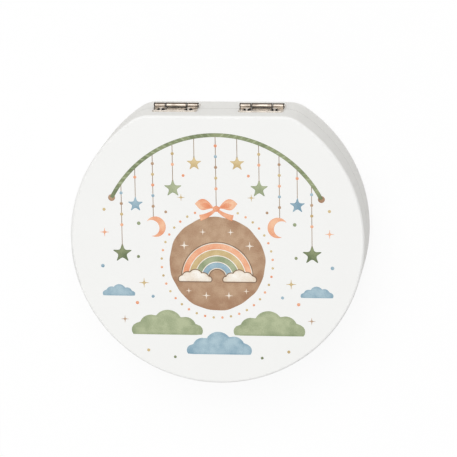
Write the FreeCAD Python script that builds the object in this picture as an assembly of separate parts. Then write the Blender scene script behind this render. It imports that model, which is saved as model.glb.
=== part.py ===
"""Round hinged keepsake box for milk teeth: two boards and two rims of lacquered fibreboard, a drilled
wooden tray, two small butt hinges with rolled knuckles, their nails, and two pairs of closing magnets.

Millimetres. The origin is the centre of the round outline, on the underside. +Z is up, +Y points at the
hinge flat and +X runs along the hinge pins.
"""

import FreeCAD
import Part
import math
import os

Vector = FreeCAD.Vector

# Outline seen from above: a circle cut by the hinge flat, with the two corners rounded
box_radius = 57.0
flat_corner_radius = 12.0

# Boards and rims, from the bottom up
base_panel_thickness = 3.0
base_rim_height = 12.0
lid_rim_height = 12.0
lid_panel_thickness = 3.0
rim_wall = 7.5
recess_corner_radius = 4.0
edge_round = 1.0
seam_round = 0.15

# Drilled tray glued inside the base rim
tray_fit = 0.2
tray_height = 11.0
tray_edge_round = 0.5
well_count = 20
well_gap = 2.7
well_side_wall = 2.5
well_end_wall = 4.0
well_chamfer = 0.5
keepsake_wall = 6.5

# Two butt hinges on the outside of the flat: each leaf is one strip of sheet, rolled into its knuckles
hinge_length = 17.3
hinge_spacing = 33.3
leaf_reach = 7.3
leaf_thickness = 0.45
leaf_corner_radius = 0.9
leaf_edge_round = 0.12
joggle_run = 1.6
middle_knuckle_length = 8.0
knuckle_gap = 0.25
roll_turn = 300.0
pin_radius = 0.35
pin_running_fit = 0.05
pin_grip_fit = 0.01
pin_end_stand = 0.35

# Dome-headed nails of the hinges
nail_pitch = 10.7
nail_rise = 4.8
nail_length = 6.0
nail_tip_length = 1.2
nail_shank_radius = 0.6
nail_head_radius = 1.4
nail_head_height = 0.75
nail_head_clearance = 0.15
leaf_hole_fit = 0.1
pilot_fit = 0.02
pilot_spare_depth = 0.4

# Closing magnets, let into the front of both rims
magnet_radius = 2.5
magnet_thickness = 2.0
magnet_recess = 0.15
magnet_fit = 0.05
magnet_angle = 28.0
magnet_chamfer = 0.2

# How far a cutting shape reaches past what it cuts, how near an edge lies to a plane that it is on,
# and the steps in which the length of the oval of wells is measured
overrun = 1.0
plane_tolerance = 1e-4
oval_steps = 3600

# The straight part of the flat is as long as the row of hinges on it, from the outer end of one pin to
# that of the other, which sets how far out it is
pin_length = hinge_length + 2 * pin_end_stand
flat_length = hinge_spacing + pin_length
flat_corner_y = math.sqrt((box_radius - flat_corner_radius) ** 2 - (flat_length / 2) ** 2)
flat_distance = flat_corner_y + flat_corner_radius

# Levels and places that follow from the sizes above
seam_level = base_panel_thickness + base_rim_height
lid_panel_level = seam_level + lid_rim_height
lid_top_level = lid_panel_level + lid_panel_thickness
recess_radius = box_radius - rim_wall
recess_flat = flat_distance - rim_wall
tray_radius = recess_radius - tray_fit
tray_flat = recess_flat - tray_fit
tray_top_level = base_panel_thickness + tray_height
tray_middle_y = (tray_flat - tray_radius) / 2
magnet_ring_radius = box_radius - rim_wall / 2
hinge_centres = (-hinge_spacing / 2, hinge_spacing / 2)
nail_places = (-nail_pitch / 2, nail_pitch / 2)

# The wells stand on an oval and are so wide that they fill it with the stated gap between neighbours:
# the length of an oval that is nearly round is pi times the sum of its half width and half depth
side_room = tray_radius - well_side_wall
end_room = (tray_flat + tray_radius) / 2 - well_end_wall
well_radius = (math.pi * (side_room + end_room) - well_count * well_gap) / (2 * (well_count + math.pi))
oval_half_width = side_room - well_radius
oval_half_depth = end_room - well_radius
keepsake_radius = oval_half_depth - well_radius - keepsake_wall

# The pin stands off the flat so far that the nail heads of both leaves pass each other when the lid lies open
pin_offset = leaf_thickness + nail_head_height + nail_head_clearance
pin_y = flat_distance + pin_offset
leaf_back_y = -pin_offset
leaf_front_y = leaf_thickness - pin_offset


def outline(radius, flat, corner, level):
    """Closed wire at a height: a circle, cut by a flat on the +Y side, with both its corners rounded."""
    corner_y = flat - corner
    corner_x = math.sqrt((radius - corner) ** 2 - corner_y ** 2)
    lean = math.atan2(corner_y, corner_x)
    middle = (lean + math.pi / 2) / 2

    def on_corner(side, angle):
        x = corner_x + corner * math.cos(angle)
        return Vector(side * x, corner_y + corner * math.sin(angle), level)

    def on_circle(side, angle):
        return Vector(side * radius * math.cos(angle), radius * math.sin(angle), level)

    right_flat = on_corner(1, math.pi / 2)
    left_flat = on_corner(-1, math.pi / 2)
    edges = [
        Part.LineSegment(right_flat, left_flat).toShape(),
        Part.Arc(left_flat, on_corner(-1, middle), on_circle(-1, lean)).toShape(),
        Part.Arc(on_circle(-1, lean), on_circle(1, -math.pi / 2), on_circle(1, lean)).toShape(),
        Part.Arc(on_circle(1, lean), on_corner(1, middle), right_flat).toShape(),
    ]
    return Part.Wire(edges)


def box_outline(level):
    return outline(box_radius, flat_distance, flat_corner_radius, level)


def recess_outline(level):
    return outline(recess_radius, recess_flat, recess_corner_radius, level)


def raised(wire, height):
    """Solid of that height on a closed flat wire."""
    return Part.Face(wire).extrude(Vector(0, 0, height))


def edges_on_level(shape, level):
    """Edges that lie flat at a height."""
    return [
        edge for edge in shape.Edges
        if abs(edge.BoundBox.ZMin - level) < plane_tolerance
        and abs(edge.BoundBox.ZMax - level) < plane_tolerance
    ]


def magnet_places(level):
    """Centres of the two closing magnets on the front of the rims, left and right, at a height."""
    places = []
    for side in (-1, 1):
        angle = math.radians(side * magnet_angle)
        x = magnet_ring_radius * math.sin(angle)
        y = -magnet_ring_radius * math.cos(angle)
        places.append(Vector(x, y, level))
    return places


def nail_points(leaf_side):
    """Where the nails of each hinge enter the flat: leaf_side is 1 for the lid and -1 for the base."""
    level = seam_level + leaf_side * nail_rise
    return [
        [Vector(centre + place, flat_distance, level) for place in nail_places]
        for centre in hinge_centres
    ]


def rim(floor_level, height, seam_side):
    """Rim of one half of the box: walls round the recess, pilot holes in the flat and magnet pockets.

    seam_side is 1 where the seam is on top of the rim, and -1 where it is under it.
    """
    recess = raised(recess_outline(floor_level - overrun), height + 2 * overrun)
    walls = raised(box_outline(floor_level), height).cut(recess)
    seam = floor_level + height if seam_side > 0 else floor_level
    walls = walls.makeFillet(seam_round, edges_on_level(walls, seam))
    pilot_radius = nail_shank_radius + pilot_fit
    pilot_depth = nail_length - leaf_thickness + pilot_spare_depth
    for hinge_row in nail_points(-seam_side):
        for point in hinge_row:
            start = point + Vector(0, overrun, 0)
            pilot = Part.makeCylinder(pilot_radius, pilot_depth + overrun, start, Vector(0, -1, 0))
            walls = walls.cut(pilot)
    pocket_radius = magnet_radius + magnet_fit
    pocket_depth = magnet_thickness + magnet_recess
    for place in magnet_places(seam + seam_side * overrun):
        pocket = Part.makeCylinder(pocket_radius, pocket_depth + overrun, place, Vector(0, 0, -seam_side))
        walls = walls.cut(pocket)
    return walls


def lid_panel():
    """Top board of the lid, with its upper edge rounded over."""
    board = raised(box_outline(lid_panel_level), lid_panel_thickness)
    return board.makeFillet(edge_round, edges_on_level(board, lid_top_level))


def base_panel():
    """Floor board of the base, with its lower edge rounded over."""
    board = raised(box_outline(0), base_panel_thickness)
    return board.makeFillet(edge_round, edges_on_level(board, 0))


def well_places():
    """Centres of the tooth wells, at equal steps along their oval, from half a step past its right end."""
    step_angle = 2 * math.pi / oval_steps
    lengths = [0]
    for step in range(oval_steps):
        angle = step_angle * (step + 1 / 2)
        speed = math.hypot(oval_half_width * math.sin(angle), oval_half_depth * math.cos(angle))
        lengths.append(lengths[-1] + step_angle * speed)
    places = []
    step = 0
    for index in range(well_count):
        while lengths[step] < lengths[-1] * (index + 1 / 2) / well_count:
            step += 1
        angle = step_angle * step
        y = tray_middle_y + oval_half_depth * math.sin(angle)
        places.append((oval_half_width * math.cos(angle), y))
    return places


def well(radius, x, y):
    """What a drill takes out of the tray for one well: a hole right through, with a chamfered mouth."""
    hole_start = Vector(x, y, base_panel_thickness - overrun)
    hole = Part.makeCylinder(radius, tray_height + 2 * overrun, hole_start, Vector(0, 0, 1))
    mouth_start = Vector(x, y, tray_top_level - well_chamfer)
    mouth_height = well_chamfer + overrun
    mouth = Part.makeCone(radius, radius + mouth_height, mouth_height, mouth_start, Vector(0, 0, 1))
    return hole.fuse(mouth)


def tooth_tray():
    """Board that fills the base rim, drilled with a well for each milk tooth round one wide keepsake well."""
    tray_outline = outline(tray_radius, tray_flat, recess_corner_radius - tray_fit, base_panel_thickness)
    tray = raised(tray_outline, tray_height)
    tray = tray.makeFillet(tray_edge_round, edges_on_level(tray, tray_top_level))
    tray = tray.cut(well(keepsake_radius, 0, tray_middle_y))
    for x, y in well_places():
        tray = tray.cut(well(well_radius, x, y))
    return tray


# Hinge parts are drawn with the pin axis at the origin, the box at -Y and the lid up


def leaf_plate():
    """Flat plate of a leaf above the joggle, its two free corners rounded, pierced for the nails."""
    half = hinge_length / 2
    shoulder = leaf_reach - leaf_corner_radius
    bend = leaf_corner_radius * math.sin(math.pi / 4)

    def corner(side):
        """The rounded free corner on one side: where it leaves the side edge, its middle and its end."""
        return (
            Vector(side * half, leaf_back_y, shoulder),
            Vector(side * (half - leaf_corner_radius + bend), leaf_back_y, shoulder + bend),
            Vector(side * (half - leaf_corner_radius), leaf_back_y, leaf_reach),
        )

    right_foot = Vector(half, leaf_back_y, joggle_run)
    left_foot = Vector(-half, leaf_back_y, joggle_run)
    right = corner(1)
    left = corner(-1)
    wire = Part.Wire([
        Part.LineSegment(left_foot, right_foot).toShape(),
        Part.LineSegment(right_foot, right[0]).toShape(),
        Part.Arc(right[0], right[1], right[2]).toShape(),
        Part.LineSegment(right[2], left[2]).toShape(),
        Part.Arc(left[2], left[1], left[0]).toShape(),
        Part.LineSegment(left[0], left_foot).toShape(),
    ])
    plate = Part.Face(wire).extrude(Vector(0, leaf_thickness, 0))
    front_edges = [
        edge for edge in plate.Edges
        if edge.BoundBox.YMin > leaf_front_y - plane_tolerance
        and edge.BoundBox.ZMax > joggle_run + plane_tolerance
    ]
    plate = plate.makeFillet(leaf_edge_round, front_edges)
    for place in nail_places:
        start = Vector(place, leaf_back_y - overrun, nail_rise)
        hole = Part.makeCylinder(
            nail_shank_radius + leaf_hole_fit, leaf_thickness + 2 * overrun, start, Vector(0, 1, 0)
        )
        plate = plate.cut(hole)
    return plate


def knuckle(start_x, length, bore_radius):
    """Strip that leaves the foot of the plate, steps out to the pin in two bends and rolls round it."""
    half = leaf_thickness / 2
    plate_y = leaf_back_y + half
    roll_radius = bore_radius + half
    step_out = -roll_radius - plate_y
    bend_angle = 2 * math.atan2(step_out, joggle_run)
    bend_radius = joggle_run / (2 * math.sin(bend_angle))
    roll_end = math.pi + math.radians(roll_turn)
    upper_bend_y = plate_y + bend_radius
    lower_bend_y = -roll_radius - bend_radius

    def point(centre_y, centre_z, radius, angle):
        return Vector(start_x, centre_y + radius * math.cos(angle), centre_z + radius * math.sin(angle))

    def arc(centre_y, centre_z, radius, start, end):
        angles = (start, (start + end) / 2, end)
        return Part.Arc(*[point(centre_y, centre_z, radius, angle) for angle in angles]).toShape()

    back_face = [
        arc(upper_bend_y, joggle_run, bend_radius + half, math.pi, math.pi + bend_angle),
        arc(lower_bend_y, 0, bend_radius - half, bend_angle, 0),
        arc(0, 0, roll_radius + half, math.pi, roll_end),
    ]
    front_face = [
        arc(0, 0, bore_radius, roll_end, math.pi),
        arc(lower_bend_y, 0, bend_radius + half, 0, bend_angle),
        arc(upper_bend_y, joggle_run, bend_radius - half, math.pi + bend_angle, math.pi),
    ]
    lip = Part.LineSegment(
        point(0, 0, roll_radius + half, roll_end), point(0, 0, bore_radius, roll_end)
    ).toShape()
    foot = Part.LineSegment(
        Vector(start_x, leaf_front_y, joggle_run), Vector(start_x, leaf_back_y, joggle_run)
    ).toShape()
    wire = Part.Wire(back_face + [lip] + front_face + [foot])
    return Part.Face(wire).extrude(Vector(length, 0, 0))


def lid_leaf():
    """Leaf with the two outer knuckles, which grip the pin."""
    inner_end = middle_knuckle_length / 2 + knuckle_gap
    length = hinge_length / 2 - inner_end
    bore_radius = pin_radius + pin_grip_fit
    outer_knuckles = [knuckle(start_x, length, bore_radius) for start_x in (-hinge_length / 2, inner_end)]
    return leaf_plate().fuse(outer_knuckles).removeSplitter()


def base_leaf():
    """Leaf with the middle knuckle, which turns on the pin. It hangs below the barrel."""
    middle = knuckle(-middle_knuckle_length / 2, middle_knuckle_length, pin_radius + pin_running_fit)
    leaf = leaf_plate().fuse(middle).removeSplitter()
    leaf.rotate(Vector(0, 0, 0), Vector(0, 1, 0), 180)
    return leaf


def dome_middle(radius, height):
    """Distance from the axis, and height, of the point half way down a spherical dome."""
    sphere_radius = (radius ** 2 + height ** 2) / (2 * height)
    half_way = math.atan2(height, radius)
    return sphere_radius * math.sin(half_way), height - sphere_radius * (1 - math.cos(half_way))


def hinge_pin():
    """Wire pin through the three knuckles, with a low dome on each end."""
    half = hinge_length / 2
    tip = pin_length / 2
    swell_z, swell_stand = dome_middle(pin_radius, pin_end_stand)
    swell_x = half + swell_stand
    wire = Part.Wire([
        Part.LineSegment(Vector(-tip, 0, 0), Vector(tip, 0, 0)).toShape(),
        Part.Arc(Vector(tip, 0, 0), Vector(swell_x, 0, swell_z), Vector(half, 0, pin_radius)).toShape(),
        Part.LineSegment(Vector(half, 0, pin_radius), Vector(-half, 0, pin_radius)).toShape(),
        Part.Arc(Vector(-half, 0, pin_radius), Vector(-swell_x, 0, swell_z), Vector(-tip, 0, 0)).toShape(),
    ])
    return Part.Face(wire).revolve(Vector(0, 0, 0), Vector(1, 0, 0), 360)


def at_hinge(shape, centre_x):
    """A hinge part moved from the pin axis of its drawing to the pin axis of one hinge."""
    placed = shape.copy()
    placed.translate(Vector(centre_x, pin_y, seam_level))
    return placed


def nail(point):
    """Dome-headed nail that clamps a leaf on the flat at a point, driven straight into the rim."""
    swell_x, swell_y = dome_middle(nail_head_radius, nail_head_height)
    crown = Vector(0, nail_head_height, 0)
    swell = Vector(swell_x, swell_y, 0)
    brim = Vector(nail_head_radius, 0, 0)
    neck = Vector(nail_shank_radius, 0, 0)
    shank_end = Vector(nail_shank_radius, nail_tip_length - nail_length, 0)
    tip = Vector(0, -nail_length, 0)
    wire = Part.Wire([
        Part.Arc(crown, swell, brim).toShape(),
        Part.LineSegment(brim, neck).toShape(),
        Part.LineSegment(neck, shank_end).toShape(),
        Part.LineSegment(shank_end, tip).toShape(),
        Part.LineSegment(tip, crown).toShape(),
    ])
    body = Part.Face(wire).revolve(Vector(0, 0, 0), Vector(0, 1, 0), 360)
    body.translate(point + Vector(0, leaf_thickness, 0))
    return body


def magnet(place, seam_side):
    """Disc magnet on the floor of its pocket, its face a little below the seam."""
    face = place + Vector(0, 0, -seam_side * magnet_recess)
    disc = Part.makeCylinder(magnet_radius, magnet_thickness, face, Vector(0, 0, -seam_side))
    return disc.makeChamfer(magnet_chamfer, edges_on_level(disc, face.z))


def all_parts():
    """Every piece of the box by name, where it sits in the closed box."""
    parts = {
        "base_panel": base_panel(),
        "base_rim": rim(base_panel_thickness, base_rim_height, 1),
        "tooth_tray": tooth_tray(),
        "lid_rim": rim(seam_level, lid_rim_height, -1),
        "lid_panel": lid_panel(),
    }
    lid_nail_points = nail_points(1)
    base_nail_points = nail_points(-1)
    seam_places = magnet_places(seam_level)
    for index, side in enumerate(("left", "right")):
        centre_x = hinge_centres[index]
        parts[side + "_hinge_lid_leaf"] = at_hinge(lid_leaf(), centre_x)
        parts[side + "_hinge_base_leaf"] = at_hinge(base_leaf(), centre_x)
        parts[side + "_hinge_pin"] = at_hinge(hinge_pin(), centre_x)
        parts[side + "_lid_nails"] = Part.makeCompound([nail(point) for point in lid_nail_points[index]])
        parts[side + "_base_nails"] = Part.makeCompound([nail(point) for point in base_nail_points[index]])
        parts[side + "_lid_magnet"] = magnet(seam_places[index], -1)
        parts[side + "_base_magnet"] = magnet(seam_places[index], 1)
    return parts


def main():
    os.makedirs("parts", exist_ok=True)
    for name, shape in all_parts().items():
        if not shape.isValid():
            raise ValueError(name + " is not a valid solid")
        shape.exportStep(os.path.join("parts", name + ".step"))
        print(name, "solids", len(shape.Solids), "volume", round(shape.Volume, 3))


main()
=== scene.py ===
import math

import bpy
from mathutils import Euler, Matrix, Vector


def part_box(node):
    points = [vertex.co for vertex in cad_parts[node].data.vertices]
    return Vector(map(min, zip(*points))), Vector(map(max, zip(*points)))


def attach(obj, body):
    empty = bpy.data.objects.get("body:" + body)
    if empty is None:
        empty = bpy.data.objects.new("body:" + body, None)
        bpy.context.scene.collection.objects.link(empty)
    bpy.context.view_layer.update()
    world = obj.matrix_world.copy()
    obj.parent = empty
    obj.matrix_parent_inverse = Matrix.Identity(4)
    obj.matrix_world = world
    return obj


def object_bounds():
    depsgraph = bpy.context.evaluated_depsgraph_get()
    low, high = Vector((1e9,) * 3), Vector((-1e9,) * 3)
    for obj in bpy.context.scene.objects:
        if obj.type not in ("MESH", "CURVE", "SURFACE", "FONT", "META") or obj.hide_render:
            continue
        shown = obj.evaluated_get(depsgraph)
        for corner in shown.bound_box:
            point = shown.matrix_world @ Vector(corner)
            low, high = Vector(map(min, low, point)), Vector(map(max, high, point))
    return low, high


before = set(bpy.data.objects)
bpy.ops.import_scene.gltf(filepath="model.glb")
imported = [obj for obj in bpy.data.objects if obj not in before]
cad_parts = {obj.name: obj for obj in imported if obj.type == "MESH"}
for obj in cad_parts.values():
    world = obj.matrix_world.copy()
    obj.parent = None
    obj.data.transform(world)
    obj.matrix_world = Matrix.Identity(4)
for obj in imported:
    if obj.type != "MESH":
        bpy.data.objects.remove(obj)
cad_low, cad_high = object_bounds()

# Looks of the round tooth box: satin white boards, a bare wooden tray, nickel hinges, and a printed lid.
# Metres, unless a name says otherwise. The print is laid out in millimetres about the middle of the lid.

lid_low, lid_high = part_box("lid_panel")
lid_middle = Vector((0, 0, lid_high.z))
print_middle = (lid_low + lid_high) / 2
seam_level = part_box("lid_rim")[0].z
millimetre = 0.001

# Hinges: the axis of the pins, how far each hinge is from the middle of the box, half the length of a hinge
# and of its middle knuckle, the radius of the knuckles, and the middle of each nail
pin_low, pin_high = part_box("left_hinge_pin")
pin_middle = (pin_low + pin_high) / 2
hinge_offset = abs(pin_middle.x)
leaf_low, leaf_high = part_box("left_hinge_lid_leaf")
hinge_half_length = (leaf_high.x - leaf_low.x) / 2
middle_knuckle_half_length = 4.1 * millimetre
knuckle_radius = leaf_high.y - pin_middle.y
nail_middles = []
for nails in (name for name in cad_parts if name.endswith("_nails")):
    nails_low, nails_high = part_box(nails)
    nail_head_radius = (nails_high.z - nails_low.z) / 2
    for x in (nails_low.x + nail_head_radius, nails_high.x - nail_head_radius):
        nail_middles.append(Vector((x, nails_high.y, nails_low.z + nail_head_radius)))

# Camera: where it stands from the lid, seen along its own axes, and how it is turned
camera_reach = 1.2
camera_right = 0.004517
camera_up = 0.004715
camera_turns = Euler((math.radians(-13.256), math.radians(6.439), math.radians(-0.880)))
picture_width = 457
focal_length_in_pixels = 3115.8
sensor_width_mm = 36.0

# Light: a large soft lamp above the hinge side, a weak fill lamp in front, a pale surround, a white floor
lamp_direction = Vector((-0.07, 0.475, 0.875))
lamp_distance = 4.0
lamp_size = 3.6
lamp_watts = 114.0
fill_direction = Vector((-0.25, -0.75, 0.60))
fill_distance = 1.2
fill_size = 0.8
fill_watts = 1.9
surround_strength = 0.425
floor_drop = 0.0002
floor_half_width = 6.0
floor_white = 0.76
floor_white_seen = (0.98, 0.98, 0.98, 1.0)
floor_glow_share = 0.88
floor_roughness = 0.9
floor_mottles_per_metre = 3
floor_mottle = 0.01

# Print: thickness of the ink, how far each layer stands above the one below, and each patch in a layer
ink_film_mm = 0.015
ink_layer_mm = 0.01
ink_foot_mm = 0.01
ink_lift_mm = 0.0015
ink_lifts = 6

# Print: half width of a pointed tip, how sharply the ends of a ribbon turn into rim, the sides of the middle
# that a patch is on, and the rings that a filled patch is divided into
tip_half_width = 0.06
ribbon_end_power = 6
both_sides = (1, -1)
middle_only = (1,)
plain_rings = (0.35, 0.68, 0.88, 1.0)
fine_rings = (0.3, 0.55, 0.75, 0.88, 0.95, 1.0)

# Print: hoop of a nursery mobile, and what hangs from it on threads
hoop_radius = 45.5
hoop_reach = math.radians(63)
hoop_half_width = 0.75
hoop_wrap_step = math.radians(3.2)
hoop_wrap_length = 2.3
hoop_wrap_half_width = 0.34
hoop_wrap_slant = math.radians(42)
hoop_knob_radius = 1.35
thread_half_width = 0.13
thread_bead_radius = 0.6
thread_bead_step = 4.2

# Print: medallion with a rainbow between two clouds, hung in the middle by a bow
medallion_radius = 18.6
medallion_y = -5.0
bead_ring_radius = 21.6
bead_count = 40
beads_behind_bow = 2
bead_radius = 0.48
medallion_ripples = ((3, 0.7, 0.010), (8, 0.0, 0.006), (17, 0.0, 0.004))
medallion_sparkles = ((12.7, 7.0, 1.8), (5.4, 12.4, 1.3), (4.4, -12.8, 1.6), (11.2, -11.0, 1.2))
rainbow_foot_y = medallion_y - 5.5
rainbow_radius = 12.3
rainbow_step = 2.5
rainbow_band_half_width = 1.05
rainbow_border = 0.35
rainbow_rim = 0.4
rainbow_inks = ("peach", "wheat", "sage", "blue")
rainbow_cloud_x = 8.5
rainbow_cloud_size = 0.42

# Print: where each ribbon of the bow starts from the knot, how it heads and turns in radians, and its size
bow_y = medallion_y + bead_ring_radius
bow_loop_start = (0.5, 0.0)
bow_loop_heading = 0.5
bow_loop_turn = -0.5
bow_loop_length = 8.0
bow_loop_half_width = 2.2
bow_fold_start = (1.3, 0.3)
bow_fold_heading = 0.46
bow_fold_turn = -0.4
bow_fold_length = 0.62 * bow_loop_length
bow_fold_half_width = 0.42 * bow_loop_half_width
bow_tail_start = (0.3, -0.3)
bow_tail_heading = -0.75
bow_tail_turn = 0.5
bow_tail_length = 7.0
bow_tail_half_width = 0.45
bow_tail_flare = 0.75
knot_radius = 1.35
knot_height_share = 0.85

# Print: star and cloud shapes
star_waist_share = 0.47
sparkle_waist_share = 0.26
crescent_turn = math.radians(235)
crescent_tilt = math.radians(-80)
crescent_fullness_share = 0.36
thread_overlap_share = 0.8
cloud_steps = 96
cloud_floor = -4.0
cloud_puffs = (
    (0.0, 0.6, 6.2), (-7.4, -0.8, 4.6), (7.2, -0.4, 5.0), (-12.0, -2.2, 2.8), (12.4, -2.0, 3.1),
)


def srgb(red, green, blue):
    """Colour as a screen gives it, 0 to 255, as the linear colour that a shader takes."""
    def linear(value):
        share = value / 255
        return share / 12.92 if share <= 0.04045 else ((share + 0.055) / 1.055) ** 2.4
    return (linear(red), linear(green), linear(blue), 1.0)


# Lacquer: its colours, relief and roughness, its patterns counted to a metre, and the painted shade in the
# seam
lacquer_white = srgb(243, 243, 241)
lacquer_edge_white = srgb(239, 238, 234)
lacquer_relief_mm = 0.012
lacquer_roughness = 0.52
lacquer_clouds_per_metre = 70
lacquer_specks_per_metre = 1500
lacquer_peel_per_metre = 650
lacquer_dust_per_metre = 2600
board_cloud_strength = 0.025
board_fibres_per_metre = 900
board_fibre_stretch = (1, 1, 0.4)
board_fibre_strength = 0.6
board_edge_roughness = 0.08
# Painted shade: a grey line on the rounded edges at the lid's seam, where the gap would lie in shadow
seam_painted_shade = srgb(160, 156, 150)
seam_shade_core = 0.05 * millimetre
seam_shade_reach = 0.2 * millimetre
seam_shade_strength = 0.85

# Beech: its colours and relief, and its patterns counted to a metre across the grain
beech_pale = srgb(222, 190, 150)
beech_brown = srgb(190, 148, 104)
beech_fleck = srgb(150, 104, 66)
beech_relief_mm = 0.03
beech_bands_per_metre = 55
beech_band_stretch = (0.12, 1, 0.6)
beech_band_strength = 0.6
beech_lines_per_metre = 420
beech_line_stretch = (0.05, 1, 1)
beech_line_strength = 0.55
beech_flecks_per_metre = 900
beech_fleck_stretch = (0.22, 1.6, 1.6)
beech_fleck_strength = 0.55
beech_fleck_depth = 0.8

# Plating: its colours and relief, its patterns counted to a metre, and the soiling and painted shade on the
# hinges
nickel_bright = srgb(212, 204, 194)
nickel_tarnish_and_shade = srgb(92, 80, 68)
nickel_dirt_and_shade = srgb(14, 11, 9)
magnet_bright = srgb(138, 138, 137)
magnet_dull = srgb(98, 97, 95)
plating_relief_mm = 0.004
plating_streaks_per_metre = 40
plating_streak_stretch = (4, 150, 150)
plating_streak_strength = 0.35
plating_blotches_per_metre = 420
plating_scratches_per_metre = 100
plating_scratch_stretch = (3, 60, 25)
tarnish_roughness = 0.16
dirt_and_shade_roughness = 0.5
dirt_and_shade_gloss = 0.1
joint_grime_core = 0.2 * millimetre
joint_grime_reach = 0.55 * millimetre
joint_grime_strength = 0.9
knuckle_core = 1.1 * knuckle_radius
knuckle_reach = 1.5 * knuckle_radius
# Ring round each nail head on the leaf: soiling and painted shade
nail_ring_core = 1.1 * nail_head_radius
nail_ring_reach = 1.45 * nail_head_radius
nail_ring_weights = (1, 0, 1.3)
nail_ring_strength = 0.98

# Inks: how strongly the pigment gathers, its patterns counted to a metre, and each ink, thin and thick
ink_blotches_per_metre = 230
ink_blotch_strength = 0.55
ink_grain_per_metre = 2400
ink_pool_strength = 0.32
ink_tone_strength = 0.34
ink_colours = {
    "olive": (srgb(150, 158, 118), srgb(92, 106, 70)),
    "sage": (srgb(178, 186, 150), srgb(126, 140, 104)),
    "thread": (srgb(170, 146, 116), srgb(122, 96, 72)),
    "wheat": (srgb(222, 200, 152), srgb(186, 158, 104)),
    "peach": (srgb(244, 196, 160), srgb(226, 138, 96)),
    "blue": (srgb(172, 196, 206), srgb(112, 148, 168)),
    "tan": (srgb(196, 166, 136), srgb(160, 122, 92)),
    "cream": (srgb(250, 246, 238), srgb(226, 208, 186)),
}


# Shader building blocks


def join(tree, value, socket):
    """Feeds a socket from another socket, or sets it to a plain value."""
    if isinstance(value, bpy.types.NodeSocket):
        tree.links.new(value, socket)
    else:
        socket.default_value = value


def put(tree, kind, inputs=None, **options):
    """Adds a shader node with its options set and its named inputs fed."""
    node = tree.nodes.new("ShaderNode" + kind)
    for name, value in options.items():
        setattr(node, name, value)
    for name, value in (inputs or {}).items():
        join(tree, value, node.inputs[name])
    return node


def sums(tree, operation, first, second=0.0, clamp=False):
    """Result of one arithmetic step on two values."""
    node = put(tree, "Math", operation=operation, use_clamp=clamp)
    join(tree, first, node.inputs[0])
    join(tree, second, node.inputs[1])
    return node.outputs[0]


def mix(tree, share, first, second, blend="MIX"):
    """Second colour laid over the first by a share."""
    node = put(tree, "Mix", data_type="RGBA", blend_type=blend)
    join(tree, share, node.inputs[0])
    join(tree, first, node.inputs[6])
    join(tree, second, node.inputs[7])
    return node.outputs[2]


def between(tree, value, low, high, to_low=0.0, to_high=1.0):
    """Value eased from one range into another."""
    inputs = {"Value": value, "From Min": low, "From Max": high, "To Min": to_low, "To Max": to_high}
    return put(tree, "MapRange", inputs, interpolation_type="SMOOTHSTEP").outputs[0]


def near(tree, distance, core, reach, strength=1.0):
    """Strength within a core, eased to 0 at a reach."""
    return between(tree, distance, core, reach, strength, 0.0)


def apart(tree, first, second):
    """How far apart two values are."""
    return sums(tree, "ABSOLUTE", sums(tree, "SUBTRACT", first, second))


def greatest(tree, masks):
    """Greatest of several masks at each point."""
    most = masks[0]
    for mask in masks[1:]:
        most = sums(tree, "MAXIMUM", most, mask)
    return most


def object_place(tree):
    """Place on the piece, which doesn't slide when the lid swings."""
    return put(tree, "TexCoord").outputs["Object"]


def place_along(tree, axis):
    """Place on the piece along one of its axes."""
    return put(tree, "SeparateXYZ", {"Vector": object_place(tree)}).outputs[axis]


def facing(tree, axis):
    """How far the surface faces along an axis of the piece, from -1 to 1."""
    return put(tree, "SeparateXYZ", {"Vector": put(tree, "TexCoord").outputs["Normal"]}).outputs[axis]


def distance_across(tree, middle, keep):
    """Distance from a line through a point: keep weighs each axis, and is 0 along the line."""
    spot = put(tree, "VectorMath", operation="SUBTRACT")
    join(tree, object_place(tree), spot.inputs[0])
    join(tree, middle, spot.inputs[1])
    flat = put(tree, "VectorMath", operation="MULTIPLY")
    join(tree, spot.outputs[0], flat.inputs[0])
    join(tree, keep, flat.inputs[1])
    return put(tree, "VectorMath", {"Vector": flat.outputs[0]}, operation="LENGTH").outputs["Value"]


def noise(tree, place, per_metre, detail=2.0, stretch=None):
    """Cloudy pattern with so many clouds to a metre, drawn out along the axes by a stretch."""
    if stretch:
        place = put(tree, "Mapping", {"Vector": place, "Scale": stretch}).outputs[0]
    return put(tree, "TexNoise", {"Vector": place, "Scale": per_metre, "Detail": detail}).outputs[0]


def attribute(tree, name):
    """Value that the ink's mesh carries at each point."""
    return put(tree, "Attribute", attribute_name=name).outputs["Fac"]


def node_group(name, inputs, outputs):
    """New shader node group with those sockets: the group, what it is given and what it makes."""
    group = bpy.data.node_groups.new(name, "ShaderNodeTree")
    for socket, kind in inputs.items():
        group.interface.new_socket(socket, in_out="INPUT", socket_type="NodeSocket" + kind)
    for socket, kind in outputs.items():
        group.interface.new_socket(socket, in_out="OUTPUT", socket_type="NodeSocket" + kind)
    return group, group.nodes.new("NodeGroupInput").outputs, group.nodes.new("NodeGroupOutput").inputs


def use_group(tree, group, inputs):
    """Places a group in a material with its own values."""
    node = tree.nodes.new("ShaderNodeGroup")
    node.node_tree = group
    for name, value in inputs.items():
        join(tree, value, node.inputs[name])
    return node.outputs


def new_material(name):
    """Material with a Principled shader: the material, its node tree and the shader."""
    material = bpy.data.materials.new(name)
    material.use_nodes = True
    return material, material.node_tree, material.node_tree.nodes["Principled BSDF"]


def bump(tree, height, depth_mm, shader):
    """Raises the surface of a shader by a height that is so deep."""
    inputs = {"Height": height, "Distance": depth_mm * millimetre, "Strength": 1.0}
    join(tree, put(tree, "Bump", inputs).outputs[0], shader.inputs["Normal"])


# Effects that several finishes share


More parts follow.
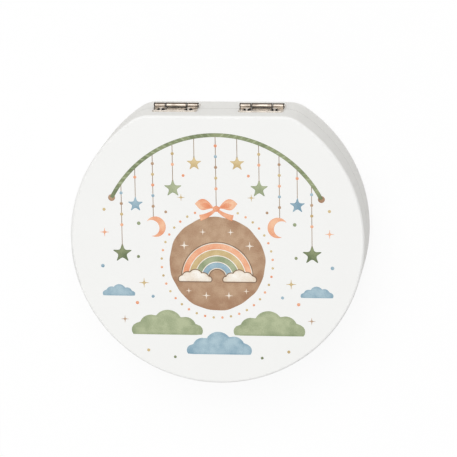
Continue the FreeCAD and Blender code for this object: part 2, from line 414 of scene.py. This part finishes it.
def make_lacquer_film():
    """Sprayed satin lacquer: faint clouds in the colour, fine orange peel and specks of duller film."""
    group, given, made = node_group(
        "lacquer film",
        {"Paint": "Color", "Cloud": "Float", "Roughness": "Float"},
        {"Color": "Color", "Roughness": "Float", "Height": "Float"},
    )
    place = object_place(group)
    clouds = noise(group, place, lacquer_clouds_per_metre, detail=4.0)
    shade = sums(group, "SUBTRACT", 1.0, sums(group, "MULTIPLY", clouds, given["Cloud"]))
    specks = noise(group, place, lacquer_specks_per_metre, detail=3.0)
    duller = between(group, specks, 0.35, 0.75, -0.03, 0.07)
    peel = noise(group, place, lacquer_peel_per_metre, detail=1.0)
    dust = between(group, noise(group, place, lacquer_dust_per_metre), 0.68, 0.8, 0.0, 0.5)
    join(group, mix(group, 1.0, given["Paint"], shade, "MULTIPLY"), made["Color"])
    join(group, sums(group, "ADD", given["Roughness"], duller), made["Roughness"])
    join(group, sums(group, "ADD", peel, dust), made["Height"])
    return group


def make_watercolour():
    """Watery ink: blotches that bled into each other, grain, and pigment that dried darker at the rim."""
    group, given, made = node_group(
        "watercolour",
        {"Pale": "Color", "Deep": "Color", "Rim": "Float", "Along": "Float", "Tone": "Float"},
        {"Color": "Color"},
    )
    place = object_place(group)
    blotches = noise(group, place, ink_blotches_per_metre, detail=4.0)
    blotch = between(group, blotches, 0.3, 0.7, 0.0, ink_blotch_strength)
    grain = between(group, noise(group, place, ink_grain_per_metre, detail=3.0), 0.3, 0.7, -0.12, 0.16)
    pool = between(group, given["Rim"], 0.7, 1.0, 0.0, ink_pool_strength)
    fade = between(group, given["Along"], 0.0, 1.0, 0.16, -0.1)
    tone = sums(group, "MULTIPLY", given["Tone"], ink_tone_strength)
    pigment = sums(group, "ADD", sums(group, "ADD", blotch, grain), sums(group, "ADD", pool, fade))
    pigment = sums(group, "ADD", pigment, tone, clamp=True)
    join(group, mix(group, pigment, given["Pale"], given["Deep"]), made["Color"])
    return group


def make_plating():
    """Thin metal plating: rolled streaks along X, blotches of tarnish, hair scratches, and a dull painted
    shade where one is given.
    """
    group, given, made = node_group(
        "plating",
        {"Bright": "Color", "Dull": "Color", "Tarnish": "Float", "Shade": "Float", "Roughness": "Float"},
        {"Color": "Color", "Roughness": "Float", "Height": "Float"},
    )
    place = object_place(group)
    streaks = noise(group, place, plating_streaks_per_metre, detail=5.0, stretch=plating_streak_stretch)
    blotches = between(group, noise(group, place, plating_blotches_per_metre, detail=5.0), 0.42, 0.68)
    dulling = sums(group, "MULTIPLY", blotches, given["Tarnish"])
    dulling = sums(group, "ADD", dulling, between(group, streaks, 0.45, 0.75, 0.0, plating_streak_strength))
    # Shade adds painted shade to the dulling
    dulling = sums(group, "ADD", dulling, given["Shade"], clamp=True)
    scratches = noise(group, place, plating_scratches_per_metre, stretch=plating_scratch_stretch)
    rougher = between(group, dulling, 0.0, 1.0, 0.0, tarnish_roughness)
    join(group, mix(group, dulling, given["Bright"], given["Dull"]), made["Color"])
    join(group, sums(group, "ADD", given["Roughness"], rougher), made["Roughness"])
    join(group, sums(group, "ADD", streaks, scratches), made["Height"])
    return group


lacquer_film = make_lacquer_film()
watercolour = make_watercolour()
plating = make_plating()


# Finishes


def white_lacquer():
    """Satin white boards: their edges are a little warmer and duller, and a grey line of painted shade runs
    along the seam.
    """
    material, tree, shader = new_material("white lacquer")
    upright = sums(tree, "ABSOLUTE", facing(tree, "Z"))
    edge = between(tree, upright, 0.15, 0.75, 1.0, 0.0)
    # Painted shade: grey on the rounded edges beside the seam, not on flat faces, in place of the gap's
    # shadow
    off_seam = apart(tree, place_along(tree, "Z"), seam_level)
    seam = near(tree, off_seam, seam_shade_core, seam_shade_reach, seam_shade_strength)
    seam = sums(tree, "MULTIPLY", seam, between(tree, upright, 0.92, 1.0, 1.0, 0.0))
    paint = mix(tree, edge, lacquer_white, lacquer_edge_white)
    paint = mix(tree, seam, paint, seam_painted_shade)
    coat = {"Paint": paint, "Cloud": board_cloud_strength, "Roughness": lacquer_roughness}
    film = use_group(tree, lacquer_film, coat)
    edge_roughness = sums(tree, "MULTIPLY", edge, board_edge_roughness)
    join(tree, film["Color"], shader.inputs["Base Color"])
    join(tree, sums(tree, "ADD", film["Roughness"], edge_roughness), shader.inputs["Roughness"])
    fibres = noise(tree, object_place(tree), board_fibres_per_metre, detail=4.0, stretch=board_fibre_stretch)
    raised_fibres = sums(tree, "MULTIPLY", sums(tree, "MULTIPLY", fibres, edge), board_fibre_strength)
    bump(tree, sums(tree, "ADD", film["Height"], raised_fibres), lacquer_relief_mm, shader)
    return material


def tray_beech():
    """Bare sanded beech: straight pale grain along X with short darker flecks."""
    material, tree, shader = new_material("tray beech")
    place = object_place(tree)
    bands = noise(tree, place, beech_bands_per_metre, detail=3.0, stretch=beech_band_stretch)
    lines = noise(tree, place, beech_lines_per_metre, detail=5.0, stretch=beech_line_stretch)
    flecks = noise(tree, place, beech_flecks_per_metre, detail=1.0, stretch=beech_fleck_stretch)
    flecks = between(tree, flecks, 0.63, 0.7)
    strong_bands = sums(tree, "MULTIPLY", bands, beech_band_strength)
    grain = sums(tree, "ADD", strong_bands, sums(tree, "MULTIPLY", lines, beech_line_strength))
    wood = mix(tree, between(tree, grain, 0.38, 0.8), beech_pale, beech_brown)
    wood = mix(tree, sums(tree, "MULTIPLY", flecks, beech_fleck_strength), wood, beech_fleck)
    join(tree, wood, shader.inputs["Base Color"])
    join(tree, between(tree, lines, 0.3, 0.7, 0.5, 0.64), shader.inputs["Roughness"])
    pores = sums(tree, "MULTIPLY", flecks, beech_fleck_depth)
    bump(tree, sums(tree, "SUBTRACT", lines, pores), beech_relief_mm, shader)
    return material


def plated(name, bright, dull, tarnish, roughness, shade=None, dirt_and_shade=None):
    """Plated metal finish. Shade lays out painted shade, where it is dull. Dirt and painted shade, laid out
    by the last mask, turn it nearly black and rough.
    """
    material, tree, shader = new_material(name)
    inputs = {"Bright": bright, "Dull": dull, "Tarnish": tarnish, "Roughness": roughness}
    if shade:
        inputs["Shade"] = shade(tree)
    skin = use_group(tree, plating, inputs)
    colour, dullness, metal = skin["Color"], skin["Roughness"], 1.0
    if dirt_and_shade:
        # Soiling and painted shade: near-black, rougher and less metallic
        dirty_and_shaded = dirt_and_shade(tree)
        colour = mix(tree, dirty_and_shaded, colour, nickel_dirt_and_shade)
        dullness = sums(tree, "ADD", dullness, sums(tree, "MULTIPLY", dirty_and_shaded, dirt_and_shade_roughness))
        metal = sums(tree, "SUBTRACT", 1.0, dirty_and_shaded)
        shader.inputs["Specular IOR Level"].default_value = dirt_and_shade_gloss
    join(tree, colour, shader.inputs["Base Color"])
    join(tree, metal, shader.inputs["Metallic"])
    join(tree, dullness, shader.inputs["Roughness"])
    bump(tree, skin["Height"], plating_relief_mm, shader)
    return material


def rolled(tree):
    """1 on the rolled knuckles of a leaf, fading to 0 on its plate."""
    return near(tree, distance_across(tree, pin_middle, (0, 1, 1)), knuckle_core, knuckle_reach)


def knuckle_painted_shade(tree):
    """Painted shade on the rolled knuckles, darkest on their outward flanks, where dark surroundings would
    be reflected.
    """
    outer = between(tree, facing(tree, "Y"), 0.2, 0.7, 0.3, 0.95)
    return sums(tree, "MULTIPLY", rolled(tree), outer)


def joint_grime(tree):
    """Dirt in the joints between the knuckles of a hinge, and on the ends of its barrel."""
    off_box_middle = sums(tree, "ABSOLUTE", place_along(tree, "X"))
    off_hinge_middle = apart(tree, off_box_middle, hinge_offset)
    joints = []
    for joint in (middle_knuckle_half_length, hinge_half_length):
        off_joint = apart(tree, off_hinge_middle, joint)
        joints.append(near(tree, off_joint, joint_grime_core, joint_grime_reach, joint_grime_strength))
    return sums(tree, "MULTIPLY", greatest(tree, joints), rolled(tree))


def leaf_dirt_and_shade(tree):
    """Dirt in the joints of a leaf. Round each nail head a dark ring, partly soiling and partly painted
    shade.
    """
    dirty_and_shaded = [joint_grime(tree)]
    for middle in nail_middles:
        # Ring round each nail head: soiling and painted shade, where the head would shade the leaf
        off_nail = distance_across(tree, middle, nail_ring_weights)
        dirty_and_shaded.append(near(tree, off_nail, nail_ring_core, nail_ring_reach, nail_ring_strength))
    return greatest(tree, dirty_and_shaded)


def nail_flank_painted_shade(tree):
    """Painted shade on a nail's dome: dark round its foot and thickest left and right, leaving its crown
    bright, where dark surroundings would be reflected.
    """
    foot = between(tree, facing(tree, "Y"), 0.82, 0.93, 1.0, 0.0)
    sideways = between(tree, sums(tree, "ABSOLUTE", facing(tree, "X")), 0.12, 0.3, 0.2, 1.0)
    return sums(tree, "MULTIPLY", foot, sideways)


def ink_finish(name):
    """Printed watercolour ink under the satin lacquer."""
    pale, deep = ink_colours[name]
    material, tree, shader = new_material(name + " ink")
    wash = {"Pale": pale, "Deep": deep}
    for socket in ("Rim", "Along", "Tone"):
        wash[socket] = attribute(tree, socket.lower())
    colour = use_group(tree, watercolour, wash)["Color"]
    film = use_group(tree, lacquer_film, {"Paint": colour, "Cloud": 0.0, "Roughness": lacquer_roughness})
    join(tree, film["Color"], shader.inputs["Base Color"])
    join(tree, film["Roughness"], shader.inputs["Roughness"])
    bump(tree, film["Height"], lacquer_relief_mm, shader)
    return material


# Ink patches


class Ink:
    """Gathers the patches of one printed colour: each is a thin closed film on top of the lid."""

    def __init__(self, name):
        self.name = name
        self.patches = 0
        self.points = []
        self.faces = []
        self.values = {"rim": [], "along": [], "tone": []}

    def patch(self, points, faces, rim, along, tone, layer):
        """Adds one film from its points seen from above, in millimetres about the middle of the print."""
        start = len(self.points)
        count = len(points)
        lift = ink_lift_mm * (self.patches % ink_lifts)
        self.patches += 1
        top = lid_high.z + (ink_film_mm + layer * ink_layer_mm + lift) * millimetre
        foot = lid_high.z - ink_foot_mm * millimetre
        first, second, third = (Vector(points[corner]) for corner in faces[0][:3])
        if (second - first).cross(third - second) < 0:
            faces = [tuple(reversed(face)) for face in faces]
        for level in (top, foot):
            for x, y in points:
                self.points.append((print_middle.x + x * millimetre, print_middle.y + y * millimetre, level))
            self.values["rim"] += rim
            self.values["along"] += along
            self.values["tone"] += [tone] * count
        edges = [(a, b) for face in faces for a, b in zip(face, face[1:] + face[:1])]
        known = set(edges)
        for face in faces:
            self.faces.append([start + corner for corner in face])
            self.faces.append([start + count + corner for corner in reversed(face)])
        for a, b in edges:
            if (b, a) not in known:
                self.faces.append([start + b, start + a, start + count + a, start + count + b])

    def ribbon(self, path, half_widths, tone=0.5, layer=0, columns=4, sides=both_sides):
        """Film along a path of points and headings, as wide as the half widths say, on one or both sides."""
        rows = len(path)
        shares = [2 * column / columns - 1 for column in range(columns + 1)]
        along = [row / (rows - 1) for row in range(rows) for share in shares]
        ends = [abs(2 * row / (rows - 1) - 1) ** ribbon_end_power for row in range(rows)]
        rim = [max(abs(share), end) for end in ends for share in shares]
        faces = []
        for row in range(rows - 1):
            for column in range(columns):
                corner = row * (columns + 1) + column
                faces.append((corner, corner + 1, corner + columns + 2, corner + columns + 1))
        for side in sides:
            points = []
            for (x, y, heading), half_width in zip(path, half_widths):
                for share in shares:
                    offset = share * half_width
                    points.append((side * (x - offset * math.sin(heading)), y + offset * math.cos(heading)))
            self.patch(points, faces, rim, along, tone, layer)

    def disc(self, middle, outline, tone=0.5, layer=0, rings=plain_rings, sides=both_sides):
        """Film inside an outline given about its middle, on one or both sides."""
        count = len(outline)
        reach = max(abs(y) for x, y in outline)
        shape = [(0.0, 0.0)]
        rim = [0.0]
        for ring in rings:
            shape += [(x * ring, y * ring) for x, y in outline]
            rim += [ring] * count
        along = [(y / reach + 1) / 2 for x, y in shape]
        faces = [(0, 1 + step, 1 + (step + 1) % count) for step in range(count)]
        for ring in range(len(rings) - 1):
            inner = 1 + ring * count
            for step in range(count):
                after = (step + 1) % count
                faces.append((inner + step, inner + count + step, inner + count + after, inner + after))
        for side in sides:
            points = [(side * (middle[0] + x), middle[1] + y) for x, y in shape]
            self.patch(points, faces, rim, along, tone, layer)

    def piece(self):
        """The finished piece, which rides on the lid."""
        mesh = bpy.data.meshes.new("print_" + self.name)
        mesh.from_pydata(self.points, [], self.faces)
        for key, values in self.values.items():
            mesh.attributes.new(key, "FLOAT", "POINT").data.foreach_set("value", values)
        mesh.materials.append(ink_finish(self.name))
        printed = bpy.data.objects.new("print_" + self.name, mesh)
        bpy.context.scene.collection.objects.link(printed)
        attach(printed, "lid")


def arc_path(start, heading, length, turn, steps):
    """Points and headings along an arc that starts at a point and turns evenly over its length."""
    x, y = start
    path = [(x, y, heading)]
    for step in range(steps):
        middle = heading + turn * (step + 0.5) / steps
        x += length / steps * math.cos(middle)
        y += length / steps * math.sin(middle)
        path.append((x, y, heading + turn * (step + 1) / steps))
    return path


def profile(steps, half_width, fullest):
    """Half widths of a blade that is pointed at both ends and fullest at a share of its length."""
    power = math.log(0.5) / math.log(fullest)
    swell = [math.sin(math.pi * (step / steps) ** power) for step in range(steps + 1)]
    return [max(tip_half_width, half_width * share) for share in swell]


def oval(half_width, half_height, count=16):
    """Outline of an oval."""
    angles = [2 * math.pi * step / count for step in range(count)]
    return [(half_width * math.cos(angle), half_height * math.sin(angle)) for angle in angles]


def star(radius, points, waist_share):
    """Outline of a star with straight sides, one point up."""
    outline = []
    for step in range(2 * points):
        angle = math.pi / 2 + math.pi * step / points
        reach = radius if step % 2 == 0 else radius * waist_share
        outline.append((reach * math.cos(angle), reach * math.sin(angle)))
    return outline


def smooth(corners, steps):
    """Closed outline that runs smoothly through its corners."""
    count = len(corners)
    outline = []
    for index in range(count):
        before, here, after, beyond = (Vector(corners[(index + shift) % count]) for shift in (-1, 0, 1, 2))
        for step in range(steps):
            t = step / steps
            point = here + 0.5 * t * (
                after - before + t * (
                    2 * before - 5 * here + 4 * after - beyond + t * (3 * (here - after) + beyond - before)
                )
            )
            outline.append((point.x, point.y))
    return outline


def vary(index, salt):
    """Steady number from 0 to 1 that differs from one motif to the next."""
    return (math.sin(12.9898 * (index + 1) + 78.233 * salt) * 437.58) % 1.0


# Motifs of the print


def star_patch(ink, middle, radius, index, points=5, waist_share=star_waist_share, layer=0):
    """Star with softened points."""
    outline = smooth(star(radius, points, waist_share), steps=4)
    inks[ink].disc(middle, outline, tone=vary(index, 1), layer=layer)


def sparkle_patch(ink, middle, radius, index):
    """Star of four slim points."""
    star_patch(ink, middle, radius, index, points=4, waist_share=sparkle_waist_share, layer=1)


def crescent_patch(ink, middle, radius, index):
    """Crescent that is fullest in the middle of its bow."""
    steps = 24
    x = middle[0] + radius * math.cos(crescent_tilt)
    y = middle[1] + radius * math.sin(crescent_tilt)
    bow = arc_path((x, y), crescent_tilt - math.pi / 2, radius * crescent_turn, -crescent_turn, steps)
    half_widths = profile(steps, crescent_fullness_share * radius, fullest=0.5)
    inks[ink].ribbon(bow, half_widths, tone=vary(index, 2), layer=1, columns=6)


def dot_patch(ink, middle, radius, index):
    """Round dot."""
    inks[ink].disc(middle, oval(radius, radius, count=20), tone=vary(index, 3))


def cloud_outline(size):
    """Outline of a cloud: the outer edge of its puffs, cut off flat below."""
    outline = []
    for step in range(cloud_steps):
        angle = 2 * math.pi * step / cloud_steps
        ray = Vector((math.cos(angle), math.sin(angle)))
        reach = 0.0
        for x, y, radius in cloud_puffs:
            middle = Vector((x, y))
            ahead = ray.dot(middle)
            inside = radius ** 2 - middle.length_squared + ahead ** 2
            if inside > 0:
                reach = max(reach, ahead + math.sqrt(inside))
        if ray.y < 0:
            reach = min(reach, cloud_floor / ray.y)
        outline.append((size * reach * ray.x, size * reach * ray.y))
    return outline


def grown(outline, distance):
    """Outline pushed outward all round by a distance. Its points run counter-clockwise."""
    count = len(outline)
    wider = []
    for index, (x, y) in enumerate(outline):
        run = Vector(outline[(index + 1) % count]) - Vector(outline[index - 1])
        run.normalize()
        wider.append((x + distance * run.y, y - distance * run.x))
    return wider


# Layout of the print


def on_hoop(turn, radius=hoop_radius):
    """Point at a turn from the top of the print, clockwise."""
    return (radius * math.sin(turn), radius * math.cos(turn))


def print_hoop():
    """Hoop wound with a paler band, with a knob on each end."""
    steps = 72
    turns = [hoop_reach * (2 * step / steps - 1) for step in range(steps + 1)]
    hoop = [(*on_hoop(turn), -turn) for turn in turns]
    inks["olive"].ribbon(hoop, [hoop_half_width] * (steps + 1), tone=0.2, layer=1, sides=middle_only)
    wrap_steps = 6
    wrap_half_widths = profile(wrap_steps, hoop_wrap_half_width, fullest=0.5)
    for wrap in range(1, int(hoop_reach / hoop_wrap_step)):
        turn = wrap * hoop_wrap_step
        heading = hoop_wrap_slant - turn
        x, y = on_hoop(turn)
        start = (x - hoop_wrap_length / 2 * math.cos(heading), y - hoop_wrap_length / 2 * math.sin(heading))
        band = arc_path(start, heading, hoop_wrap_length, 0.0, wrap_steps)
        inks["sage"].ribbon(band, wrap_half_widths, tone=vary(wrap, 4), layer=2)
    dot_patch("tan", on_hoop(hoop_reach), hoop_knob_radius, 5)


def print_thread(turn, length):
    """Thread that hangs straight down from the hoop, with beads on it: the point at its end."""
    x, y = on_hoop(turn)
    sides = both_sides if turn else middle_only
    steps = 6
    thread = arc_path((x, y), -math.pi / 2, length, 0.0, steps)
    inks["thread"].ribbon(thread, [thread_half_width] * (steps + 1), columns=2, sides=sides)
    colours = ("wheat", "peach", "blue", "tan")
    for bead in range(1, int(length / thread_bead_step)):
        middle = (x, y - bead * thread_bead_step)
        outline = oval(thread_bead_radius, thread_bead_radius, count=14)
        colour = colours[(bead + int(length)) % len(colours)]
        inks[colour].disc(middle, outline, tone=vary(bead, length), layer=2, sides=sides)
    return x, y - length


def print_hangings():
    """What hangs from the hoop on each side of the medallion: turn, thread, shape, ink and radius."""
    hangings = (
        (10.5, 8.0, star_patch, "wheat", 2.9),
        (21.5, 15.0, star_patch, "sage", 3.5),
        (32.5, 26.5, crescent_patch, "peach", 3.5),
        (43.5, 12.5, star_patch, "blue", 3.0),
        (54.0, 25.0, star_patch, "olive", 3.8),
    )
    for index, (turn, length, shape, ink, radius) in enumerate(hangings):
        x, y = print_thread(math.radians(turn), length)
        shape(ink, (x, y - thread_overlap_share * radius), radius, index)


def print_arch(ink, radius, half_width, tone, layer):
    """Half circle over the feet of the rainbow."""
    steps = 48
    arch = arc_path((-radius, rainbow_foot_y), math.pi / 2, math.pi * radius, -math.pi, steps)
    inks[ink].ribbon(arch, [half_width] * (steps + 1), tone, layer, sides=middle_only)


def print_rainbow():
    """Rainbow of bands on a pale arch with a dark rim, and a cloud with such a rim on each foot."""
    inmost_radius = rainbow_radius - (len(rainbow_inks) - 1) * rainbow_step
    arch_radius = (rainbow_radius + inmost_radius) / 2
    arch_half_width = (rainbow_radius - inmost_radius) / 2 + rainbow_band_half_width + rainbow_border
    print_arch("thread", arch_radius, arch_half_width + rainbow_rim, tone=1.2, layer=1)
    print_arch("cream", arch_radius, arch_half_width, tone=0.1, layer=2)
    for band, ink in enumerate(rainbow_inks):
        print_arch(ink, rainbow_radius - band * rainbow_step, rainbow_band_half_width, tone=0.4, layer=3)
    middle = (rainbow_cloud_x, rainbow_foot_y)
    cloud = cloud_outline(rainbow_cloud_size)
    inks["thread"].disc(middle, grown(cloud, rainbow_rim), tone=1.2, layer=4, rings=fine_rings)
    inks["cream"].disc(middle, cloud, tone=0.1, layer=5, rings=fine_rings)


def print_medallion():
    """Tan disc with an uneven edge, with a rainbow and sparkles on it, and a ring of beads round it."""
    print_thread(0.0, hoop_radius - medallion_y - bead_ring_radius)
    steps = 120
    edge = []
    for step in range(steps):
        angle = 2 * math.pi * step / steps
        ripple = sum(share * math.sin(count * angle + start) for count, start, share in medallion_ripples)
        reach = medallion_radius * (1 + ripple)
        edge.append((reach * math.cos(angle), reach * math.sin(angle)))
    inks["tan"].disc((0.0, medallion_y), edge, tone=0.4, rings=fine_rings, sides=middle_only)
    print_rainbow()
    for bead in range(beads_behind_bow, bead_count - beads_behind_bow):
        x, y = on_hoop(2 * math.pi * (bead + 0.5) / bead_count, bead_ring_radius)
        outline = oval(bead_radius, bead_radius, count=12)
        colour = "peach" if bead % 2 else "wheat"
        inks[colour].disc((x, y + medallion_y), outline, tone=vary(bead, 3), sides=middle_only)
    for index, (x, y, radius) in enumerate(medallion_sparkles):
        sparkle_patch("cream", (x, y + medallion_y), radius, index)


def bow_path(start, heading, length, turn, steps):
    """Path of a ribbon that starts beside the knot of the bow."""
    return arc_path((start[0], bow_y + start[1]), heading, length, turn, steps)


def print_bow():
    """Ribbon bow on the thread of the medallion: two loops, two tails and the knot."""
    peach = inks["peach"]
    steps = 14
    loop = bow_path(bow_loop_start, bow_loop_heading, bow_loop_length, bow_loop_turn, steps)
    peach.ribbon(loop, profile(steps, bow_loop_half_width, fullest=0.62), tone=0.25, layer=3, columns=6)
    fold = bow_path(bow_fold_start, bow_fold_heading, bow_fold_length, bow_fold_turn, steps)
    peach.ribbon(fold, profile(steps, bow_fold_half_width, fullest=0.6), tone=1.5, layer=4)
    tail = bow_path(bow_tail_start, bow_tail_heading, bow_tail_length, bow_tail_turn, steps)
    tail_half_widths = [bow_tail_half_width + bow_tail_flare * step / steps for step in range(steps + 1)]
    peach.ribbon(tail, tail_half_widths, tone=0.6, layer=2)
    knot = oval(knot_radius, knot_height_share * knot_radius)
    peach.disc((0.0, bow_y), knot, tone=1.1, layer=5, sides=middle_only)


def print_clouds():
    """Bank of clouds below the medallion: ink, place, size, layer and sides."""
    clouds = (
        ("sage", (19.6, -30.0), 0.92, 0, both_sides),
        ("blue", (0.0, -38.0), 0.84, 1, middle_only),
        ("blue", (38.4, -16.6), 0.42, 0, both_sides),
    )
    for ink, middle, size, layer, sides in clouds:
        inks[ink].disc(middle, cloud_outline(size), tone=-0.2, layer=layer, rings=fine_rings, sides=sides)


def print_dots():
    """Sparkles and dots that fill the sky: shape, ink, place and radius."""
    marks = (
        (sparkle_patch, "wheat", (28.6, -13.0), 2.0), (sparkle_patch, "peach", (43.6, 7.0), 1.8),
        (sparkle_patch, "wheat", (13.6, 21.0), 1.5), (sparkle_patch, "tan", (36.4, -27.6), 1.5),
        (dot_patch, "blue", (44.6, -6.4), 0.7), (dot_patch, "olive", (30.6, -2.6), 0.6),
        (dot_patch, "peach", (12.6, 29.6), 0.55), (dot_patch, "wheat", (43.6, 16.0), 0.6),
        (dot_patch, "blue", (25.2, -18.4), 0.6), (dot_patch, "peach", (31.4, -21.0), 0.65),
        (dot_patch, "sage", (30.2, 10.6), 0.7), (dot_patch, "tan", (19.6, 15.2), 0.55),
        (dot_patch, "wheat", (27.4, -40.0), 0.6), (dot_patch, "olive", (17.0, -42.6), 0.55),
    )
    for index, (shape, ink, middle, radius) in enumerate(marks):
        shape(ink, middle, radius, index + 9)


inks = {name: Ink(name) for name in ink_colours}
print_hoop()
print_hangings()
print_medallion()
print_bow()
print_clouds()
print_dots()
for ink in inks.values():
    ink.piece()


# Finishes of the frame's own pieces


def finish_of(name, finishes):
    """Finish of a frame piece, by the last words of its name."""
    return next(finish for words, finish in finishes.items() if name.endswith(words))


white = white_lacquer()
finishes = {
    "_panel": white,
    "_rim": white,
    "_tray": tray_beech(),
    "_leaf": plated(
        "leaf nickel", nickel_bright, nickel_tarnish_and_shade,
        tarnish=0.25, roughness=0.26, shade=knuckle_painted_shade, dirt_and_shade=leaf_dirt_and_shade,
    ),
    "_pin": plated("pin nickel", nickel_bright, nickel_tarnish_and_shade, tarnish=0.5, roughness=0.2),
    "_nails": plated(
        "nail nickel", nickel_bright, nickel_tarnish_and_shade,
        tarnish=0.2, roughness=0.22, dirt_and_shade=nail_flank_painted_shade,
    ),
    "_magnet": plated("magnet plating", magnet_bright, magnet_dull, tarnish=0.35, roughness=0.34),
}
for name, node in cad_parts.items():
    node.material_slots[0].material = finish_of(name, finishes)


# Floor, light and camera


def white_rays(tree):
    """1 for rays from the camera and those that mirrors and glass send on, otherwise 0."""
    rays = put(tree, "LightPath").outputs
    return greatest(tree, [rays["Is Camera Ray"], rays["Is Glossy Ray"], rays["Is Transmission Ray"]])


def studio_floor():
    """Wide white floor that glows to the eye just enough to look white, and keeps a soft shadow."""
    material, tree, shader = new_material("studio floor")
    seen = white_rays(tree)
    mottle = noise(tree, object_place(tree), floor_mottles_per_metre)
    pale = between(tree, mottle, 0.3, 0.7, floor_white, floor_white + floor_mottle)
    join(tree, mix(tree, seen, pale, floor_white_seen), shader.inputs["Base Color"])
    shader.inputs["Roughness"].default_value = floor_roughness
    shader.inputs["Specular IOR Level"].default_value = 0.0
    glow = put(tree, "Emission", {"Color": (1, 1, 1, 1), "Strength": 1.0})
    share = sums(tree, "MULTIPLY", seen, floor_glow_share)
    blend = put(tree, "MixShader")
    join(tree, share, blend.inputs[0])
    join(tree, shader.outputs[0], blend.inputs[1])
    join(tree, glow.outputs[0], blend.inputs[2])
    join(tree, blend.outputs[0], tree.nodes["Material Output"].inputs["Surface"])
    level = cad_low.z - floor_drop
    wide = floor_half_width
    mesh = bpy.data.meshes.new("floor")
    corners = [(-wide, -wide, level), (wide, -wide, level), (wide, wide, level), (-wide, wide, level)]
    mesh.from_pydata(corners, [], [(0, 1, 2, 3)])
    mesh.materials.append(material)
    floor = bpy.data.objects.new("floor", mesh)
    bpy.context.scene.collection.objects.link(floor)


def surround():
    """Even pale light from all round, which looks white itself."""
    world = bpy.data.worlds.new("surround")
    bpy.context.scene.world = world
    world.use_nodes = True
    tree = world.node_tree
    background = tree.nodes["Background"]
    background.inputs["Color"].default_value = (1, 1, 1, 1)
    strength = between(tree, white_rays(tree), 0.0, 1.0, surround_strength, 1.0)
    join(tree, strength, background.inputs["Strength"])


def soft_lamp(name, direction, distance, size, watts):
    """Square lamp that faces the middle of the lid from a direction."""
    light = bpy.data.lights.new(name, "AREA")
    light.energy = watts
    light.size = size
    lamp = bpy.data.objects.new(name, light)
    lamp.location = lid_middle + distance * direction.normalized()
    lamp.rotation_euler = direction.to_track_quat("Z", "Y").to_euler()
    bpy.context.scene.collection.objects.link(lamp)


def photo_camera():
    """Camera above the lid, at the angle of the photograph."""
    lens = bpy.data.cameras.new("camera")
    lens.sensor_width = sensor_width_mm
    lens.lens = focal_length_in_pixels / picture_width * sensor_width_mm
    camera = bpy.data.objects.new("camera", lens)
    camera.rotation_euler = camera_turns
    offset = Vector((camera_right, camera_up, camera_reach))
    camera.location = lid_middle + camera_turns.to_matrix() @ offset
    bpy.context.scene.collection.objects.link(camera)
    bpy.context.scene.camera = camera


studio_floor()
surround()
soft_lamp("soft lamp", lamp_direction, lamp_distance, lamp_size, lamp_watts)
soft_lamp("fill lamp", fill_direction, fill_distance, fill_size, fill_watts)
photo_camera()
bpy.context.scene.view_settings.view_transform = "Standard"
